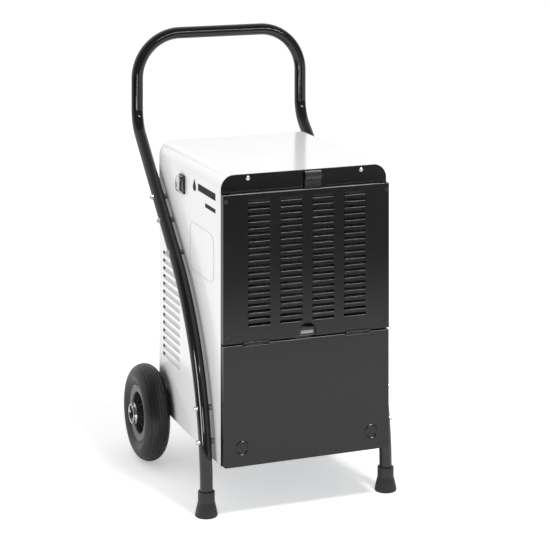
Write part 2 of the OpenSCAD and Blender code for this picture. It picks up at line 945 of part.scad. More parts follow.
module switch_bezel() {
    color([0.06, 0.06, 0.06]) placed() on_left()
        difference() {
            union() {
                block([half_w, switch_y - switch_half_y, switch_z - switch_half_z],
                    [bezel_face, switch_y + switch_half_y, switch_z + switch_half_z]);
                block([half_w - 25, switch_y - body_half_y, switch_z - body_half_z],
                    [half_w, switch_y + body_half_y, switch_z + body_half_z]);
            }
            block([half_w - 23, switch_y - 11, switch_z - 14.3],
                [bezel_face + 1, switch_y + 11, switch_z + 14.3]);
            rod_y(1.5, switch_y - 12, switch_y + 12, pivot_x, switch_z);
        }
}

rocker_half_z = 12.6;
rocker_tilt = 8;

// Rocker outline about its pivot in the front view: a shallow V on the outside.
module rocker_outline(upper, outer, inner) {
    s = upper ? 1 : -1;
    polygon([[inner, 0], [outer, 0], [outer + 2, s * rocker_half_z], [inner, s * rocker_half_z]]);
}

module tilted_rocker() {
    translate([pivot_x, 0, switch_z]) rotate([0, rocker_tilt, 0]) children();
}

module switch_rocker() {
    color([0.08, 0.08, 0.08]) placed() on_left() tilted_rocker() {
        along_y(switch_y - 10.7, switch_y + 10.7) {
            rocker_outline(true, 5, -3);
            rocker_outline(false, 3, -3);
        }
        rod_y(1.5 - running, switch_y - 11.8, switch_y + 11.8);
    }
}

module rocker_lens() {
    color([0.75, 0.12, 0.15]) placed() on_left() tilted_rocker()
        along_y(switch_y - 10.7, switch_y + 10.7)
            polygon([[3, 0], [5, 0], [7, -rocker_half_z], [5, -rocker_half_z]]);
}

// Clear splash cover standing on the bezel.
module switch_cover() {
    height = 9.5;
    wall = 1;
    color([0.85, 0.9, 0.92, 0.4]) placed() on_left()
        difference() {
            block([bezel_face, switch_y - 14, switch_z - 17],
                [bezel_face + height, switch_y + 14, switch_z + 17]);
            block([bezel_face - 1, switch_y - 14 + wall, switch_z - 17 + wall],
                [bezel_face + height - wall, switch_y + 14 - wall, switch_z + 17 - wall]);
        }
}

// ---------- trolley frame ----------

// The side tube as a path (y, z): leg, long sweep, leaning straight, crank, upright.
sweep_end = [leg_y + sweep_r * (1 - cos(lean)), sweep_z + sweep_r * sin(lean)];
straight_l = (handle_y - leg_y - (sweep_r + crank_r) * (1 - cos(lean))) / sin(lean);
straight_end = sweep_end + straight_l * [sin(lean), cos(lean)];
crank_c = straight_end + crank_r * [-cos(lean), sin(lean)];
leg_z0 = 8;

// Bolts on the side tube, as [y, z]: two on the sweep and three on the straight.
function sweep_point(a) = [leg_y + sweep_r * (1 - cos(a)), sweep_z + sweep_r * sin(a)];
function straight_point(s) = sweep_end + s * [sin(lean), cos(lean)];
function bolt_points() = concat(
    [for (a = [10.4, 17.1]) sweep_point(a)],
    [for (s = [14, 95.5, 156]) straight_point(s)]);

// A bend in the plane of the path: centre c, radius r, from angle a0 through a sweep.
module bend(c, r, a0, sweep, bar_r) {
    translate([c[0], c[1], 0]) rotate([0, 0, a0]) rotate_extrude(angle = sweep, $fn = 128)
        translate([r, 0]) circle(bar_r + seam);
}

// A straight bar in the plane of the path, from a point, leaning back from upright.
module straight(from, l, tilt, bar_r) {
    translate([from[0], from[1], 0]) rotate([-90, 0, -tilt]) cylinder(r = bar_r, h = l);
}

// One side of the frame as a round bar, drawn in the plane of its path.
module side_bar(bar_r) {
    upright_z = crank_c[1] - lap;
    straight([leg_y, leg_z0], sweep_z - leg_z0 + lap, 0, bar_r);
    bend([leg_y + sweep_r, sweep_z], sweep_r, 180 - lean, lean, bar_r);
    straight(straight_point(-lap), straight_l + 2 * lap, lean, bar_r);
    bend(crank_c, crank_r, -lean, lean, bar_r);
    straight([handle_y, upright_z], handle_z - handle_r - upright_z + lap, 0, bar_r);
}

// The whole bent frame as a round bar.
module frame_bar(bar_r) {
    bar_x = tube_x - handle_r + lap;
    both_sides() {
        translate([tube_x, 0, 0]) rotate([90, 0, 90]) side_bar(bar_r);
        translate([0, handle_y, 0]) rotate([90, 0, 0])
            bend([tube_x - handle_r, handle_z - handle_r], handle_r, 0, 90, bar_r);
    }
    rod_x(bar_r, -bar_x, bar_x, handle_y, handle_z);
}

module frame_tube() {
    color([0.05, 0.05, 0.05]) placed()
        difference() {
            frame_bar(tube_r);
            frame_bar(tube_r - tube_wall);
            both_sides() for (p = bolt_points()) {
                rod_x(bolt_hole_r, half_w, tube_x + 20, p[0], p[1]);
                rod_x(bolt_head_r + 0.2, bolt_seat_x, tube_x + 20, p[0], p[1]);
            }
        }
}

bolt_head_r = 5.5;
bolt_seat_x = tube_x + tube_r - 1.2;

module tube_bolts() {
    nut_x = half_w - sheet - 5;
    washer_t = 2;
    head_r = 4.6;
    head_x = bolt_seat_x + washer_t + 3.6;
    color("silver") placed() both_sides() for (p = bolt_points()) {
        rod_x(bolt_r, nut_x - 3, bolt_seat_x, p[0], p[1]);
        rod_x(bolt_head_r, bolt_seat_x, bolt_seat_x + washer_t, p[0], p[1]);
        rod_x(head_r, bolt_seat_x, head_x, p[0], p[1]);
        translate([head_x, p[0], p[1]]) rotate([0, 90, 0])
            cylinder(r1 = head_r, r2 = head_r * 0.6, h = 1.4);
        translate([nut_x, p[0], p[1]]) rotate([0, 90, 0]) cylinder(r = 5.6, h = 5, $fn = 6);
    }
}

module tube_spacers() {
    color("white") placed() both_sides() for (p = bolt_points())
        difference() {
            rod_x(5.5, half_w, tube_x - tube_r - seam - running, p[0], p[1]);
            rod_x(bolt_hole_r, half_w - 1, tube_x, p[0], p[1]);
        }
}

module rubber_feet() {
    top_z = 48;
    top_r = 16.3;
    flare_z = 28;
    base_r = 21.8;
    bore_r = tube_r + 2 * seam;
    color([0.12, 0.12, 0.12]) placed() both_sides() translate([tube_x, leg_y, 0])
        rotate_extrude()
            polygon([[0, 0], [base_r - 1, 0], [base_r, 1], [base_r, 4], [base_r - 1.6, 12],
                [top_r + 0.8, flare_z - 3], [top_r, flare_z], [top_r, top_z - 1.5],
                [top_r - 1.5, top_z], [bore_r, top_z], [bore_r, leg_z0], [0, leg_z0]]);
}

// ---------- wheels ----------

hub_r = 22;
bush_r = 10.5;
hub_half = 25;
rim_bead_r = 57;
rim_well_r = 51.5;
rim_half = 17.5;
rim_lip = 3;

// The tyre's section is a circle drawn in towards its bead, with shallow tread grooves.
module tyre(x) {
    r = wheel_d / 2;
    half = tyre_w / 2;
    bead = rim_half + rim_lip;
    belly_r = r - half + 11;
    groove_d = 1;
    groove_w = 1.4;
    groove_pitch = 6.6;
    color([0.1, 0.1, 0.1]) placed() translate([x, axle_y, r]) rotate([0, 90, 0])
        rotate_extrude($fn = 128)
            difference() {
                union() {
                    translate([rim_well_r, -rim_half]) square([10, 2 * rim_half]);
                    intersection() {
                        translate([r - half, 0]) circle(half, $fn = 96);
                        polygon([[rim_bead_r, -bead], [belly_r, -half], [r, -half],
                            [r, half], [belly_r, half], [rim_bead_r, bead]]);
                    }
                }
                for (i = [-2.5 : 1 : 2.5]) {
                    g = i * groove_pitch;
                    translate([r - half + sqrt(half * half - g * g) - groove_d, g - groove_w / 2])
                        square([6, groove_w]);
                }
            }
}

// The rim: a well for the tyre, a light outer lip, a set-back disc and a long hub.
module rim(x) {
    lip_r = 42;
    disc_half = 3;
    color([0.7, 0.7, 0.74]) placed() translate([x, axle_y, wheel_d / 2]) rotate([0, 90, 0])
        rotate_extrude($fn = 128) {
            translate([lip_r, -rim_half]) square([rim_well_r - lip_r, 2 * rim_half]);
            for (s = [-1, 1])
                translate([lip_r, s > 0 ? rim_half : -rim_half - rim_lip])
                    square([rim_bead_r - lip_r, rim_lip]);
            translate([hub_r - 1, -disc_half]) square([lip_r - hub_r + 2, 2 * disc_half]);
            translate([bush_r, -hub_half]) square([hub_r - bush_r, 2 * hub_half]);
        }
}

module bush(x) {
    color([0.85, 0.83, 0.75]) placed()
        difference() {
            rod_x(bush_r, x - hub_half, x + hub_half, axle_y, wheel_d / 2);
            rod_x(axle_r + running, x - hub_half - 1, x + hub_half + 1, axle_y, wheel_d / 2);
        }
}

module left_tyre() { tyre(-wheel_x); }
module right_tyre() { tyre(wheel_x); }
module left_rim() { rim(-wheel_x); }
module right_rim() { rim(wheel_x); }
module left_bush() { bush(-wheel_x); }
module right_bush() { bush(wheel_x); }

cap_x = wheel_x + hub_half + 0.5;
axle_end = wheel_x + hub_half + 4;

module axle() {
    color("silver") placed() rod_x(axle_r, -axle_end, axle_end, axle_y, wheel_d / 2);
}

module axle_washers() {
    color("silver") placed() both_sides()
        difference() {
            rod_x(14, half_w, wheel_x - hub_half - 0.5, axle_y, wheel_d / 2);
            rod_x(axle_r, half_w - 1, wheel_x, axle_y, wheel_d / 2);
        }
}

// Push-on hub cap: a flange, a drum with a sunk face, a crown and four ribs.
module hub_caps() {
    flange_r = 22;
    flange_t = 1.6;
    drum_r = 20.5;
    face_x = cap_x + 5;
    rim_x = cap_x + 8.5;
    color("silver") placed() both_sides()
        difference() {
            translate([0, axle_y, wheel_d / 2]) {
                rod_x(flange_r, cap_x, cap_x + flange_t);
                difference() {
                    rod_x(drum_r, cap_x, rim_x);
                    rod_x(drum_r - 2.5, face_x, rim_x + 1);
                }
                rod_x(8, cap_x, rim_x);
                for (a = [45, 135]) rotate([a, 0, 0])
                    block([cap_x, 2 - drum_r, -2], [rim_x - 1, drum_r - 2, 2]);
            }
            rod_x(axle_r, 0, axle_end, axle_y, wheel_d / 2);
        }
}

module axle_brackets() {
    color([0.3, 0.3, 0.3]) placed() both_sides()
        difference() {
            union() {
                block([150, axle_y - 30, 86], [153, axle_y + 8, pan_top - pan_t]);
                block([118, axle_y - 30, pan_top - pan_t - 3],
                    [153, axle_y + 8, pan_top - pan_t]);
                rod_x(axle_r + 1.5, 150, 153, axle_y, wheel_d / 2);
            }
            rod_x(axle_r, 100, 160, axle_y, wheel_d / 2);
        }
}

// ---------- rear fittings ----------

coil_half_x = 45;
coil_low_z = 190;
coil_high_z = 342;
cord_r = 4;
hook_screw_drop = 12;
hook_screw_zs = [coil_low_z + cord_r + hook_screw_drop, coil_high_z - cord_r - hook_screw_drop];
hook_screw_x = 9;
hook_plate_t = 3;
gland_x = -120;
gland_z = 150;
gland_r = 6;

module cord_gland() {
    color([0.1, 0.1, 0.1]) placed()
        difference() {
            union() {
                rod_y(gland_r, casing_d - sheet - 6, casing_d, gland_x, gland_z);
                rod_y(gland_r + 4, casing_d, casing_d + 4, gland_x, gland_z);
                rod_y(gland_r + 1.5, casing_d + 4, casing_d + 18, gland_x, gland_z);
            }
            rod_y(cord_r, casing_d - 20, casing_d + 20, gland_x, gland_z);
        }
}

// Two hooks that the cord is wound on, one turned up and one turned down.
module cord_hooks() {
    color([0.1, 0.1, 0.1]) placed() {
        cord_hook(coil_high_z - cord_r, 1);
        cord_hook(coil_low_z + cord_r, -1);
    }
}

// A full-width bar of a hook, between two depths and two heights.
module hook_bar(y0, y1, z0, z1) {
    half = 14;
    block([-half, y0, min(z0, z1)], [half, y1, max(z0, z1)]);
}

// One hook whose shelf is at height z and whose lip points up (s = 1) or down (s = -1).
module cord_hook(z, s) {
    reach = 36;
    t = 5;
    lip = 14;
    plate_h = 20;
    far = casing_d + reach;
    difference() {
        union() {
            hook_bar(casing_d, far, z, z - s * t);
            hook_bar(far - t, far, z, z + s * lip);
            hook_bar(casing_d, casing_d + hook_plate_t, z, z - s * plate_h);
        }
        for (x = [-1, 1])
            rod_y(screw_hole_r, casing_d - 1, casing_d + 5, x * hook_screw_x, z - s * hook_screw_drop);
    }
}

// The wound cord, as one closed band around both hooks.
module power_cord() {
    band = 2 * cord_r;
    w = 2 * coil_half_x;
    h = coil_high_z - coil_low_z;
    color([0.08, 0.08, 0.08]) placed()
        along_y(casing_d + 4, casing_d + 30) translate([0, (coil_low_z + coil_high_z) / 2])
            difference() {
                round_rect(w + band, h + band, 30);
                round_rect(w - band, h - band, 22);
            }
}

module power_plug() {
    x = coil_half_x + 22;
    y = casing_d + 17;
    foot = 236;
    color([0.08, 0.08, 0.08]) placed() {
        rod_z(14, foot, foot + 34, x, y);
        for (s = [-1, 1]) rod_z(2.2, foot - 16, foot, x + 9 * s, y);
    }
}

casing();
front_frame();
intake_cover();
black_screws();
cover_spacers();
lip_screws();
fixed_hinge_leaves();
hinge_pins();
base_pan();
rear_panel();
tank_bay();
float_switch();
drip_tray();
evaporator_fins();
evaporator_bends();
condenser_fins();
condenser_bends();
coil_end_plates();
fan_shroud();
fan_motor();
motor_bracket();
compressor();
compressor_grommets();
refrigerant_pipes();
filter_drier();
electrics_box();
control_board();
run_capacitor();
switch_bezel();
switch_cover();
frame_tube();
rubber_feet();
tube_spacers();
tube_bolts();
axle();
axle_brackets();
axle_washers();
hub_caps();
cord_gland();
cord_hooks();
power_cord();
power_plug();
left_tyre();
left_rim();
left_bush();
right_tyre();
right_rim();
right_bush();
tank_flap();
moving_hinge_leaves();
flap_magnets();
tank_body();
tank_lid();
tank_float();
filter_frame();
filter_mesh();
filter_strip();
switch_rocker();
rocker_lens();
fan_impeller();
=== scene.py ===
"""Looks of a wheeled dehumidifier, round its CAD frame.

Procedural finishes for all parts, finer shapes for bent, turned and soft ones, a studio and a camera."""
import json
import math

import bmesh
import bpy
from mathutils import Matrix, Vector

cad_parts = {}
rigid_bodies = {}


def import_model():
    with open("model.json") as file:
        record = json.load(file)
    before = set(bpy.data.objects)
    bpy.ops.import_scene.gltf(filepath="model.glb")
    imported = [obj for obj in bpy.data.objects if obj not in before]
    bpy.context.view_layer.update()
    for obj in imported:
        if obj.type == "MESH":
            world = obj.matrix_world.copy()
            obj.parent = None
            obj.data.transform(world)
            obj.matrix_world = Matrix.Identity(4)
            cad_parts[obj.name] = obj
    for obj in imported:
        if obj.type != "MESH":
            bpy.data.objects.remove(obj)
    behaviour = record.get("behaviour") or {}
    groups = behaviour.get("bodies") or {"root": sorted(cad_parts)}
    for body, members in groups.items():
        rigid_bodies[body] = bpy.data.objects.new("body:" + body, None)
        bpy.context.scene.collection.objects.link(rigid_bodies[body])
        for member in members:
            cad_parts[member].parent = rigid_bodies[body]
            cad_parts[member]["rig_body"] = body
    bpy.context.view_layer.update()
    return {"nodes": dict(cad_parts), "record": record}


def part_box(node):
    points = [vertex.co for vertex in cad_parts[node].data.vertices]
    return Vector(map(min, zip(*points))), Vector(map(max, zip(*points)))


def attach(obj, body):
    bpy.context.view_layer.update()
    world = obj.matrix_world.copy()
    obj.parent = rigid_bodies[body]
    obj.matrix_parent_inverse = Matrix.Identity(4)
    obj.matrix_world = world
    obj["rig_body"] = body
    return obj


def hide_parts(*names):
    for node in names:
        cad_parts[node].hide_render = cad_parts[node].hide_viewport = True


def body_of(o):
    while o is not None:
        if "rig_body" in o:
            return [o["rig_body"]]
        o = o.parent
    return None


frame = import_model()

MM = 0.001
TAU = 2 * math.pi


# ---------------------------------------------------------------- finishes

class Finish:
    """A procedural material under construction: one principled shader and what drives it."""

    def __init__(self, slot, colour, roughness, metallic=0.0, coat=0.0, specular=0.5):
        self.slot = slot
        self.material = bpy.data.materials.new(slot + "_finish")
        self.material.use_nodes = True
        self.tree = self.material.node_tree
        self.shader = self.tree.nodes["Principled BSDF"]
        self.colour = (*colour, 1.0)
        self.set("Base Color", self.colour)
        self.set("Roughness", roughness)
        self.set("Metallic", metallic)
        self.set("Specular IOR Level", specular)
        self.set("Coat Weight", coat)
        self.set("Coat Roughness", 0.08)
        self.place = self.add("ShaderNodeTexCoord").outputs["Object"]

    def set(self, socket, value):
        self.shader.inputs[socket].default_value = value

    def add(self, kind, **settings):
        node = self.tree.nodes.new(kind)
        for key, value in settings.items():
            setattr(node, key, value)
        return node

    def link(self, source, target):
        self.tree.links.new(source, target)

    def stretched(self, stretch):
        """The texture's place, scaled: features are drawn out along any axis where stretch is under 1."""
        node = self.add("ShaderNodeMapping")
        node.inputs["Scale"].default_value = stretch
        self.link(self.place, node.inputs["Vector"])
        return node.outputs["Vector"]

    def noise(self, size, detail, stretch=(1, 1, 1)):
        """Grey noise whose features are about size metres across."""
        node = self.add("ShaderNodeTexNoise")
        self.link(self.stretched(stretch), node.inputs["Vector"])
        node.inputs["Scale"].default_value = 1 / size
        node.inputs["Detail"].default_value = detail
        return node.outputs["Fac"]

    def cells(self, size):
        """Patches about size metres across, each of its own random but fixed grey."""
        node = self.add("ShaderNodeTexVoronoi")
        self.link(self.place, node.inputs["Vector"])
        node.inputs["Scale"].default_value = 1 / size
        return node.outputs["Color"]

    def spread(self, source, low, high, start=0.3, end=0.7):
        """Maps a grey source to a range of values."""
        node = self.add("ShaderNodeMapRange")
        self.link(source, node.inputs["Value"])
        for key, value in zip(("From Min", "From Max", "To Min", "To Max"), (start, end, low, high)):
            node.inputs[key].default_value = value
        return node.outputs["Result"]

    def mottle(self, source, other, start=0.3, end=0.7):
        """Blends the base colour towards another colour by a grey source."""
        mix = self.add("ShaderNodeMix", data_type="RGBA")
        self.link(self.spread(source, 0.0, 1.0, start, end), mix.inputs["Factor"])
        current = self.shader.inputs["Base Color"]
        if current.is_linked:
            self.link(current.links[0].from_socket, mix.inputs["A"])
        else:
            mix.inputs["A"].default_value = self.colour
        mix.inputs["B"].default_value = (*other, 1.0)
        self.link(mix.outputs["Result"], current)

    def roughen(self, source, low, high):
        """Makes the roughness follow a grey source, from low to high."""
        self.link(self.spread(source, low, high), self.shader.inputs["Roughness"])

    def bump(self, source, depth):
        """Adds relief of about depth metres on top of any that is there."""
        node = self.add("ShaderNodeBump")
        node.inputs["Strength"].default_value = 1.0
        node.inputs["Distance"].default_value = depth
        self.link(source, node.inputs["Height"])
        normal = self.shader.inputs["Normal"]
        if normal.is_linked:
            self.link(normal.links[0].from_socket, node.inputs["Normal"])
        self.link(node.outputs["Normal"], normal)


def coated(name, colour, roughness, peel, tone, coat=0.0):
    """Powder-coated steel: fine orange peel, slow changes of gloss and a trace of tone."""
    tone_patch, gloss_patch, peel_pitch = 120 * MM, 90 * MM, 1.6 * MM
    f = Finish(name, colour, roughness, coat=coat)
    f.mottle(f.noise(tone_patch, 3), tone)
    f.roughen(f.noise(gloss_patch, 2), roughness * 0.94, roughness * 1.07)
    f.bump(f.noise(peel_pitch, 2), peel)
    return f


def shaded_white():
    """Gloss white paint, darkened by painted shade in its narrow recesses, such as behind the louvre
    blades.
    """
    painted_shade = (0.1, 0.1, 0.1)
    reach = 20 * MM
    unshaded, full_shade = 0.85, 0.3
    f = coated("white_paint", (0.83, 0.83, 0.825), 0.17, 0.006 * MM, (0.81, 0.81, 0.815), 0.3)
    # Painted shade: the paint's colour goes towards grey where other surfaces close in within reach.
    recess = f.add("ShaderNodeAmbientOcclusion", samples=8)
    recess.inputs["Distance"].default_value = reach
    f.mottle(recess.outputs["AO"], painted_shade, unshaded, full_shade)
    return f


def moulded(name, colour, roughness, grain=0.9 * MM, depth=0.01 * MM, tone=None):
    """Moulded plastic or rubber with a fine spark-eroded grain."""
    tone_patch, gloss_patch = 20 * MM, 6 * MM
    f = Finish(name, colour, roughness)
    f.mottle(f.noise(tone_patch, 4), tone or [c * 0.8 for c in colour])
    f.roughen(f.noise(gloss_patch, 3), roughness * 0.85, min(1.0, roughness * 1.2))
    f.bump(f.noise(grain, 3), depth)
    return f


def metal(name, colour, roughness, streak=(1, 1, 1), depth=0.004 * MM, tone=None):
    """Bare or plated metal with fine marks, drawn out along any axis where streak is under 1."""
    tone_patch, gloss_pitch, mark_pitch = 12 * MM, 0.8 * MM, 0.5 * MM
    f = Finish(name, colour, roughness, metallic=1.0)
    f.mottle(f.noise(tone_patch, 5), tone or [c * 0.82 for c in colour])
    f.roughen(f.noise(gloss_pitch, 3, streak), roughness * 0.7, min(1.0, roughness * 1.5))
    f.bump(f.noise(mark_pitch, 2, streak), depth)
    return f


def galvanised():
    """Zinc-coated sheet with its spangle: patches of slightly different grey."""
    spangle = 14 * MM
    f = metal("galvanised", (0.62, 0.64, 0.65), 0.42)
    f.mottle(f.cells(spangle), (0.5, 0.52, 0.55))
    return f


def clear_plastic():
    """Clear moulding with a faint wave in its surface."""
    f = Finish("clear_cover", (0.96, 0.97, 0.97), 0.06)
    f.set("Transmission Weight", 1.0)
    f.set("IOR", 1.46)
    f.bump(f.noise(9 * MM, 2), 0.05 * MM)
    return f


def lens_plastic():
    """Dark red plastic that glows very slightly."""
    f = moulded("red_lens", (0.3, 0.03, 0.06), 0.25)
    f.set("Emission Color", (1.0, 0.05, 0.06, 1.0))
    f.set("Emission Strength", 0.02)
    return f


def milky(name, colour):
    """Natural polypropylene: pale, softly lit from within, with flow marks."""
    f = moulded(name, colour, 0.32, 1.5 * MM, 0.01 * MM)
    f.set("Subsurface Weight", 0.25)
    f.set("Subsurface Radius", (6 * MM, 6 * MM, 6 * MM))
    return f


def solder_mask():
    """Circuit board: green mask over a faint grid of copper tracks."""
    f = moulded("board", (0.015, 0.11, 0.045), 0.3)
    bricks_per_metre = 60
    tracks = f.add("ShaderNodeTexBrick")
    f.link(f.place, tracks.inputs["Vector"])
    tracks.inputs["Scale"].default_value = bricks_per_metre
    f.mottle(tracks.outputs["Fac"], (0.03, 0.2, 0.08), 0, 1)
    return f


def hammered(name, colour):
    """Thick black paint on a pressed steel shell, with brush runs."""
    f = coated(name, colour, 0.28, 0.05 * MM, [c * 1.8 for c in colour], 0.3)
    f.bump(f.noise(14 * MM, 1), 0.25 * MM)
    return f


def make_finishes():
    """Every material slot's finish, by the slot's name."""
    # A coated finish: slot, colour, roughness, depth of the orange peel, second tone and clear coat.
    # A moulded or metal finish: slot, colour, roughness, then what differs from the usual grain or marks.
    return {f.slot: f.material for f in (
        shaded_white(),
        coated("black_paint", (0.0072, 0.0072, 0.0074), 0.19, 0.006 * MM, (0.008, 0.008, 0.008)),
        coated("black_gloss", (0.006, 0.006, 0.0064), 0.1, 0.004 * MM, (0.0075, 0.0075, 0.008), 0.3),
        coated("black_steel", (0.02, 0.02, 0.021), 0.4, 0.012 * MM, (0.035, 0.034, 0.033)),
        metal("zinc", (0.72, 0.73, 0.76), 0.24),
        metal("chrome", (0.86, 0.86, 0.87), 0.08, depth=0.001 * MM),
        galvanised(),
        metal("filter_metal", (0.52, 0.52, 0.49), 0.36, (0.05, 1, 1)),
        moulded("filter_net", (0.01, 0.01, 0.01), 0.7),
        moulded("tab_plastic", (0.03, 0.0285, 0.029), 0.3),
        moulded("foot_rubber", (0.02, 0.02, 0.021), 0.5, 1.2 * MM, 0.03 * MM, (0.026, 0.026, 0.027)),
        moulded("tyre_rubber", (0.01, 0.01, 0.0106), 0.36, 0.8 * MM, 0.01 * MM, (0.014, 0.014, 0.0148)),
        coated("rim_paint", (0.13, 0.127, 0.14), 0.34, 0.01 * MM, (0.11, 0.108, 0.12)),
        moulded("nylon", (0.78, 0.76, 0.68), 0.4),
        moulded("black_plastic", (0.018, 0.018, 0.019), 0.38, 0.9 * MM, 0.015 * MM, (0.026, 0.026, 0.027)),
        moulded("cord_jacket", (0.02, 0.02, 0.021), 0.5, 1.5 * MM, 0.02 * MM, (0.032, 0.032, 0.033)),
        lens_plastic(),
        clear_plastic(),
        metal("fin_aluminium", (0.78, 0.79, 0.8), 0.35),
        metal("copper", (0.72, 0.36, 0.2), 0.3, tone=(0.45, 0.2, 0.1)),
        hammered("compressor_paint", (0.014, 0.014, 0.015)),
        coated("motor_paint", (0.05, 0.05, 0.055), 0.45, 0.02 * MM, (0.07, 0.07, 0.072)),
        moulded("fan_plastic", (0.05, 0.052, 0.056), 0.42),
        milky("tank_plastic", (0.62, 0.66, 0.68)),
        moulded("lid_plastic", (0.05, 0.055, 0.06), 0.42, 1.2 * MM, 0.03 * MM),
        moulded("float_plastic", (0.72, 0.13, 0.03), 0.4),
        solder_mask(),
        metal("capacitor_can", (0.75, 0.75, 0.74), 0.28, (1, 1, 0.05)),
        metal("magnet", (0.2, 0.2, 0.21), 0.35),
    )}


FINISHES = make_finishes()
SLOT_OF = {part["node"]: part["material_slot"] for part in frame["record"]["subparts"]}


# ---------------------------------------------------------------- CAD nodes

# How wide edges are broken, by the node's or its material slot's name. All others are sheet edges.
SHEET_EDGE = 0.35 * MM
MOULDED_EDGE = 0.8 * MM
FINE_EDGE = 0.25 * MM
EDGE_OF = {
    "zinc": FINE_EDGE, "copper": FINE_EDGE, "red_lens": FINE_EDGE, "board": FINE_EDGE,
    "black_plastic": MOULDED_EDGE, "lid_plastic": MOULDED_EDGE, "fan_plastic": MOULDED_EDGE,
    "tab_plastic": 0.4 * MM, "intake_cover": 0.5 * MM, "nylon": 0.5 * MM, "tank_flap": 0.6 * MM,
    "tank_plastic": 1.2 * MM, "capacitor_can": 1.2 * MM, "float_plastic": 1.5 * MM, "motor_paint": 2 * MM,
}

# Sheets whose bevels aren't clamped, because short edges round their holes would make every bevel tiny.
SLOTTED = ("intake_cover", "tank_flap", "front_frame")

# Angles between two faces: they're joined into one below the first, bevelled above the second
# and shaded as one smooth surface below the third.
FLAT_ANGLE = math.radians(0.5)
BEVEL_ANGLE = math.radians(40)
SMOOTH_ANGLE = math.radians(50)

# Corners closer than this are one corner: in the CAD's meshes, and in meshes made here.
CAD_WELD = 0.002 * MM
PIECE_WELD = 0.001 * MM


def smoothing_nodes():
    """A node group that shades a mesh smooth, apart from its edges that turn by more than SMOOTH_ANGLE."""
    group = bpy.data.node_groups.new("smooth_by_angle", "GeometryNodeTree")
    group.interface.new_socket("Geometry", in_out="INPUT", socket_type="NodeSocketGeometry")
    group.interface.new_socket("Geometry", in_out="OUTPUT", socket_type="NodeSocketGeometry")
    start = group.nodes.new("NodeGroupInput")
    end = group.nodes.new("NodeGroupOutput")
    smooth = group.nodes.new("GeometryNodeSetShadeSmooth")
    sharp = group.nodes.new("GeometryNodeSetShadeSmooth")
    sharp.domain = "EDGE"
    angle = group.nodes.new("GeometryNodeInputMeshEdgeAngle")
    limit = group.nodes.new("FunctionNodeCompare")
    limit.inputs["B"].default_value = SMOOTH_ANGLE
    group.links.new(start.outputs["Geometry"], smooth.inputs["Geometry"])
    group.links.new(smooth.outputs["Geometry"], sharp.inputs["Geometry"])
    group.links.new(angle.outputs["Unsigned Angle"], limit.inputs["A"])
    group.links.new(limit.outputs["Result"], sharp.inputs["Selection"])
    sharp.inputs["Shade Smooth"].default_value = False
    group.links.new(sharp.outputs["Geometry"], end.inputs["Geometry"])
    return group


SMOOTHING = smoothing_nodes()


def soften(obj, edge):
    """Joins a CAD mesh's triangles into faces, then rounds its edges."""
    weld = obj.modifiers.new("weld", "WELD")
    weld.merge_threshold = CAD_WELD
    flat = obj.modifiers.new("flat", "DECIMATE")
    flat.decimate_type = "DISSOLVE"
    flat.angle_limit = FLAT_ANGLE
    round_edges(obj, edge)


def round_edges(obj, edge):
    """Rounds a mesh's sharp edges a little and shades the rest smooth."""
    if edge:
        bevel = obj.modifiers.new("edge", "BEVEL")
        bevel.width = edge
        bevel.segments = 2
        bevel.limit_method = "ANGLE"
        bevel.angle_limit = BEVEL_ANGLE
        bevel.miter_outer = "MITER_ARC"
        bevel.use_clamp_overlap = True
    smooth = obj.modifiers.new("smooth", "NODES")
    smooth.node_group = SMOOTHING
    obj.modifiers.new("normals", "WEIGHTED_NORMAL").keep_sharp = True


def finish_cad_nodes():
    """Gives every CAD node its finish and its rounded edges."""
    for name, obj in frame["nodes"].items():
        obj.data.materials.clear()
        obj.data.materials.append(FINISHES[SLOT_OF[name]])
        soften(obj, EDGE_OF.get(name, EDGE_OF.get(SLOT_OF[name], SHEET_EDGE)))
        if name in SLOTTED:
            obj.modifiers["edge"].use_clamp_overlap = False


finish_cad_nodes()


# ---------------------------------------------------------------- mesh pieces

X_AXIS = Vector((1, 0, 0))
Z_AXIS = Vector((0, 0, 1))


def piece(name, solids, slot, *nodes, edge=0.0, body=None):
    """One shown piece made of closed solids, in place of the CAD nodes and on the first one's body.

    A piece that stands for no node names its body instead."""
    vertices, faces = [], []
    for solid_vertices, solid_faces in solids:
        offset = len(vertices)
        vertices += [tuple(v) for v in solid_vertices]
        faces += [[offset + i for i in face] for face in solid_faces]
    mesh = bpy.data.meshes.new(name)
    mesh.from_pydata(vertices, [], faces)
    tidy = bmesh.new()
    tidy.from_mesh(mesh)
    bmesh.ops.remove_doubles(tidy, verts=tidy.verts, dist=PIECE_WELD)
    bmesh.ops.recalc_face_normals(tidy, faces=tidy.faces)
    tidy.to_mesh(mesh)
    tidy.free()
    mesh.materials.append(FINISHES[slot])
    obj = bpy.data.objects.new(name, mesh)
    bpy.context.scene.collection.objects.link(obj)
    round_edges(obj, edge)
    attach(obj, body or body_of(frame["nodes"][nodes[0]])[0])
    if nodes:
        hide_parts(*nodes)


def lofted(rings, closed=False):
    """A solid through rings of points; a closed one joins its last ring to its first."""
    n = len(rings[0])
    vertices = [p for ring in rings for p in ring]
    faces = []
    for i in range(len(rings) if closed else len(rings) - 1):
        here, there = i * n, (i + 1) % len(rings) * n
        faces += [(here + j, here + (j + 1) % n, there + (j + 1) % n, there + j) for j in range(n)]
    if not closed:
        faces += [range(n), range(len(vertices) - n, len(vertices))]
    return vertices, faces


def turned(outline, centre, axis, steps=128):
    """A closed outline of (along, radius) points turned about an axis through centre."""
    across = Z_AXIS if abs(axis.z) < 0.5 else X_AXIS
    side = axis.cross(across)
    rings = []
    for i in range(steps):
        out = across * math.cos(TAU * i / steps) + side * math.sin(TAU * i / steps)
        rings.append([centre + axis * along + out * radius for along, radius in outline])
    return lofted(rings, closed=True)


